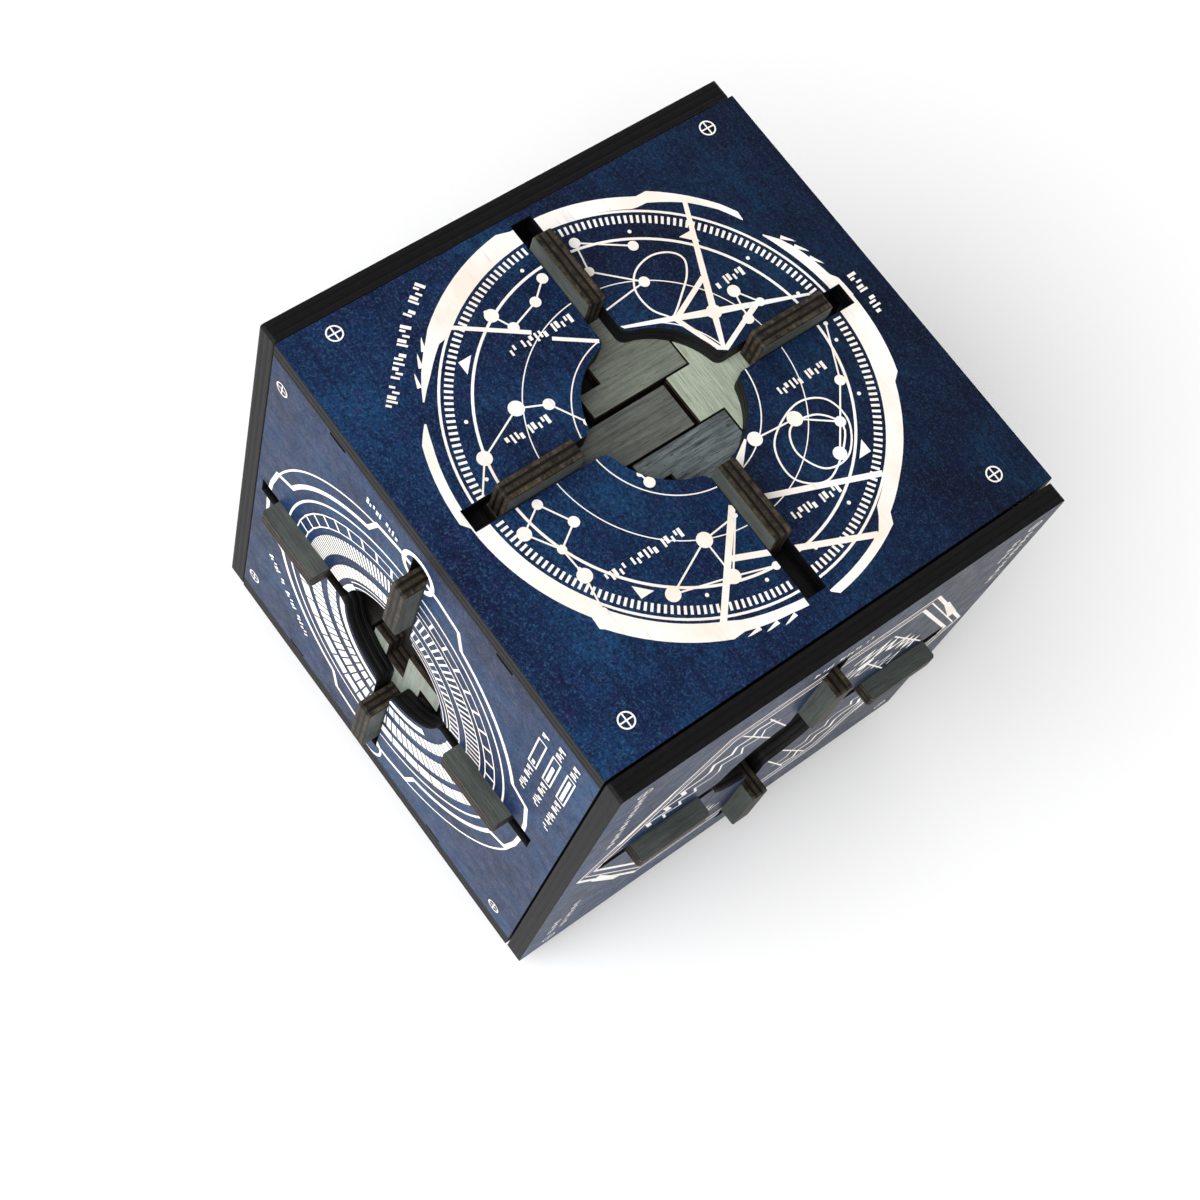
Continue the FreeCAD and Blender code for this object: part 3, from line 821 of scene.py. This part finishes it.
# Brightness through a sheet of plywood: outer plies, dark bands and a duller middle ply.
PLY_LINES = ((0.0, 0.3), (0.08, 1.0), (0.22, 0.9), (0.26, 0.05), (0.37, 0.08), (0.42, 0.6),
             (0.58, 0.6), (0.63, 0.08), (0.74, 0.05), (0.78, 0.9), (0.92, 1.0), (1.0, 0.3))


def ply_edge(name, across, origin, span, light, dark):
    """The sawn edge of plywood: plies and dark glue lines across the sheet, charred by the laser."""
    shader = Shader(name, 0.55, 0.2)
    place = shader.across(across, origin, span)
    wobble = shader.noise(220.0, 3.0, 0.6)
    swayed = shader.maths("ADD", place, shader.maths("MULTIPLY", wobble, 0.05))
    plies = shader.ramp(swayed, *PLY_LINES)
    char = shader.noise(500.0, 5.0, 0.7)
    fibres = shader.noise(1.0, 4.0, 0.6, shader.stretched(grain_scale(across, 2600.0, 300.0)))
    wood = shader.mix(shader.ramp(char, (0.35, 0.0), (0.7, 1.0)), dark, light)
    shown = shader.mix(1.0, wood, plies, "MULTIPLY")
    streaked = shader.mix(shader.ramp(fibres, (0.35, 0.55), (0.6, 0.0)), shown, dark)
    shader.bump(shader.maths("ADD", plies, shader.maths("MULTIPLY", fibres, 0.6)), 0.5, 0.0003)
    return shader.finish(streaked)


def stained_ply(name, along, light, dark, streak=0.5):
    """A stained plywood surface with open grain along one direction."""
    roughness = 0.6
    shader = Shader(name, roughness, 0.35)
    cloud = shader.noise(90.0, 4.0, 0.6)
    grain = shader.noise(1.0, 7.0, 0.7, shader.stretched(grain_scale(along, 1300.0, 70.0)))
    pores = shader.noise(1.0, 3.0, 0.6, shader.stretched(grain_scale(along, 4200.0, 420.0)))
    base = shader.mix(shader.ramp(cloud, (0.3, 0.0), (0.7, 1.0)), dark, light)
    line_tone = tuple(part * 0.3 for part in dark)
    pore_tone = tuple(part * 0.22 for part in dark)
    lined = shader.mix(shader.ramp(grain, (0.36, streak), (0.56, 0.0)), base, line_tone)
    pored = shader.mix(shader.ramp(pores, (0.3, streak), (0.44, 0.0)), lined, pore_tone)
    shader.bump(shader.maths("ADD", grain, shader.maths("MULTIPLY", pores, 0.7)), 0.55, 0.0004)
    return shader.finish(pored, shader.ramp(grain, (0.3, roughness + 0.15), (0.7, roughness)))


FACING = 0.7            # the least cosine between a polygon and the side that it belongs to
SHARP_ANGLE = 40
WELD_DISTANCE = 1e-6
PANEL_ROUND = 0.00016
PLATE_ROUND = 0.00012
FIN_ROUND = 0.0002
INSIDE_ROUND = 0.00015


def paint_node(node, out, front, back, edge):
    """Give a CAD node's outer, inner and edge surfaces their own materials."""
    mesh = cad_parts[node].data
    mesh.materials.clear()
    for material in (front, back, edge):
        mesh.materials.append(material)
    for polygon in mesh.polygons:
        facing = polygon.normal.dot(out)
        polygon.material_index = 0 if facing > FACING else 1 if facing < -FACING else 2


def soften_edges(node, width):
    """A small round on every sharp edge, so that it catches the light."""
    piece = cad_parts[node]
    weld = piece.modifiers.new("weld", "WELD")
    weld.merge_threshold = WELD_DISTANCE
    bevel = piece.modifiers.new("worn_edges", "BEVEL")
    bevel.width = width
    bevel.segments = 2
    bevel.limit_method = "ANGLE"
    bevel.angle_limit = math.radians(SHARP_ANGLE)


BOARDS = {name: Face(name) for name in FACES}
# One stain for each plate of a face: light and dark tone, and how strongly its grain shows.
PLATE_STAINS = {
    "back": ((0.5, 0.56, 0.44), (0.37, 0.42, 0.33), 0.4),
    "left": ((0.22, 0.245, 0.2), (0.15, 0.165, 0.14), 0.55),
    "front": ((0.148, 0.157, 0.138), (0.1, 0.105, 0.095), 0.6),
    "right": ((0.21, 0.25, 0.25), (0.1, 0.118, 0.12), 1.0),
    "top": ((0.27, 0.3, 0.26), (0.18, 0.2, 0.17), 0.45),
    "bottom": ((0.33, 0.37, 0.32), (0.24, 0.27, 0.235), 0.35),
}
# Panel edges: laser char, darkened further to near-black as painted shade for the shadowed edge
# strips and hole walls.
EDGE_LIGHT = (0.006, 0.0055, 0.0065)
EDGE_DARK = (0.0015, 0.0015, 0.002)
FIN_EDGE_LIGHT = (0.115, 0.088, 0.052)
FIN_EDGE_DARK = (0.008, 0.006, 0.005)
PLATE_EDGE_LIGHT = (0.07, 0.05, 0.035)
PLATE_EDGE_DARK = (0.015, 0.01, 0.008)
FIN_SIDE_LIGHT = (0.09, 0.104, 0.094)
FIN_SIDE_DARK = (0.047, 0.055, 0.051)
PANEL_BACK_LIGHT = (0.06, 0.05, 0.045)
PANEL_BACK_DARK = (0.03, 0.025, 0.022)
# Inner liner and lid plug board: near-black, a painted shade for the dark inside seen through the
# holes.
INNER_PAINTED_SHADE_LIGHT = (0.02, 0.018, 0.018)
INNER_PAINTED_SHADE_DARK = (0.008, 0.007, 0.007)
GUIDE_LIGHT = (0.05, 0.045, 0.04)
GUIDE_DARK = (0.025, 0.022, 0.02)


def span_of(node, direction):
    """Where a node starts along a direction, and how far it goes."""
    ends = sorted(corner.dot(direction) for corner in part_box(node))
    return ends[0], ends[1] - ends[0]


def slot_direction(board, side):
    """The direction of the slot on one side of a face's hole, such as the top face's back slot."""
    flat_face = board.out.z != 0
    upright = side in ("top", "bottom") or (flat_face and side in ("front", "back"))
    return board.up if upright else board.right


def dress_panels():
    for name, board in BOARDS.items():
        start, thick = span_of(board.panel, board.out)
        # The panel's edges, hole walls included, get the near-black tones: laser char and painted
        # shade.
        edge = ply_edge(f"{name}_panel_edge", board.out, start, thick, EDGE_LIGHT, EDGE_DARK)
        front = printed_navy(f"{name}_panel_print", board.right)
        back = stained_ply(f"{name}_panel_back", board.right, PANEL_BACK_LIGHT, PANEL_BACK_DARK)
        paint_node(board.panel, board.out, front, back, edge)
        soften_edges(board.panel, PANEL_ROUND)
        ink = Ink(board)
        ARTWORK[name](ink)
        ink.build(cream_ink(f"{name}_ink", board.right))


def dress_sliders():
    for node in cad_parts:
        words = node.split("_")
        if words[-1] not in ("plate", "fin"):
            continue
        name, side_name, kind = words
        board = BOARDS[name]
        slot_way = slot_direction(board, side_name)
        side_way = board.right if slot_way is board.up else board.up
        if kind == "plate":
            light, dark, streak = PLATE_STAINS[side_name]
            start, thick = span_of(node, board.out)
            grain = board.right if side_name == "back" else board.up
            face = stained_ply(f"{node}_face", grain, light, dark, streak)
            edge = ply_edge(f"{node}_edge", board.out, start, thick,
                            PLATE_EDGE_LIGHT, PLATE_EDGE_DARK)
            paint_node(node, board.out, face, face, edge)
            soften_edges(node, PLATE_ROUND)
        else:
            start, thick = span_of(node, side_way)
            side = stained_ply(f"{node}_side", slot_way, FIN_SIDE_LIGHT, FIN_SIDE_DARK, 0.45)
            edge = ply_edge(f"{node}_edge", side_way, start, thick, FIN_EDGE_LIGHT, FIN_EDGE_DARK)
            paint_node(node, side_way, side, side, edge)
            soften_edges(node, FIN_ROUND)


def dress_insides():
    # The liner and the lid's plug board get the near-black painted shade; the guide blocks keep a
    # plain dark stain.
    dark = stained_ply("inner_painted_shade", (1, 0, 0), INNER_PAINTED_SHADE_LIGHT, INNER_PAINTED_SHADE_DARK)
    guide = stained_ply("guide_stain", (1, 0, 0), GUIDE_LIGHT, GUIDE_DARK)
    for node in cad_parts:
        if node.startswith("inner") or node == "lid_plug_board":
            stain = dark
        elif node.endswith("guide_blocks"):
            stain = guide
        else:
            continue
        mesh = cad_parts[node].data
        mesh.materials.clear()
        mesh.materials.append(stain)
        soften_edges(node, INSIDE_ROUND)


# ---------------------------------------------------------------- surroundings
def add_floor(size, drop):
    bpy.ops.mesh.primitive_plane_add(size=size, location=(0, 0, -drop))
    floor = bpy.context.object
    floor.name = "floor"
    shader = Shader("floor_paper", 0.9, 0.2)
    colour = shader.ramp(shader.noise(3.0), (0.3, 0.95), (0.7, 0.97))
    floor.data.materials.append(shader.finish(colour))


def add_world(overhead, horizon):
    """A pale studio: grey overhead, brighter towards the horizon."""
    world = bpy.data.worlds.new("studio")
    world.use_nodes = True
    tree = world.node_tree
    direction = tree.nodes.new("ShaderNodeTexCoord").outputs["Generated"]
    split = tree.nodes.new("ShaderNodeSeparateXYZ")
    tree.links.new(direction, split.inputs[0])
    blend = tree.nodes.new("ShaderNodeValToRGB")
    blend.color_ramp.elements[0].position = 0.25
    blend.color_ramp.elements[0].color = (horizon, horizon, horizon, 1.0)
    blend.color_ramp.elements[1].position = 0.8
    blend.color_ramp.elements[1].color = (overhead, overhead, overhead, 1.0)
    tree.links.new(split.outputs["Z"], blend.inputs["Fac"])
    tree.links.new(blend.outputs["Color"], tree.nodes["Background"].inputs["Color"])
    bpy.context.scene.world = world


def add_sun(direction, strength, softness):
    lamp = bpy.data.lights.new("soft_key", "SUN")
    lamp.energy = strength
    lamp.angle = math.radians(softness)
    holder = bpy.data.objects.new("soft_key", lamp)
    holder.rotation_mode = "QUATERNION"
    holder.rotation_quaternion = (-Vector(direction)).to_track_quat("-Z", "Y")
    bpy.context.scene.collection.objects.link(holder)


def add_camera(eye, aim, roll, lens):
    camera = bpy.data.objects.new("camera", bpy.data.cameras.new("camera"))
    camera.data.lens = lens
    camera.data.clip_start = 0.01
    camera.data.clip_end = 20.0
    camera.location = eye
    camera.rotation_mode = "QUATERNION"
    look = (Vector(aim) - Vector(eye)).to_track_quat("-Z", "Y")
    camera.rotation_quaternion = look @ Quaternion((0, 0, 1), math.radians(roll))
    bpy.context.scene.collection.objects.link(camera)
    bpy.context.scene.camera = camera


dress_panels()
dress_sliders()
dress_insides()
add_floor(size=6.0, drop=0.0002)
add_world(overhead=0.09, horizon=1.0)
add_sun(direction=(0.08, -0.75, 0.8), strength=3.5, softness=65.0)
add_camera(eye=(0.1111, -0.1980, 0.4983), aim=(0.0103, -0.0120, 0.0619), roll=26.4, lens=67.7)
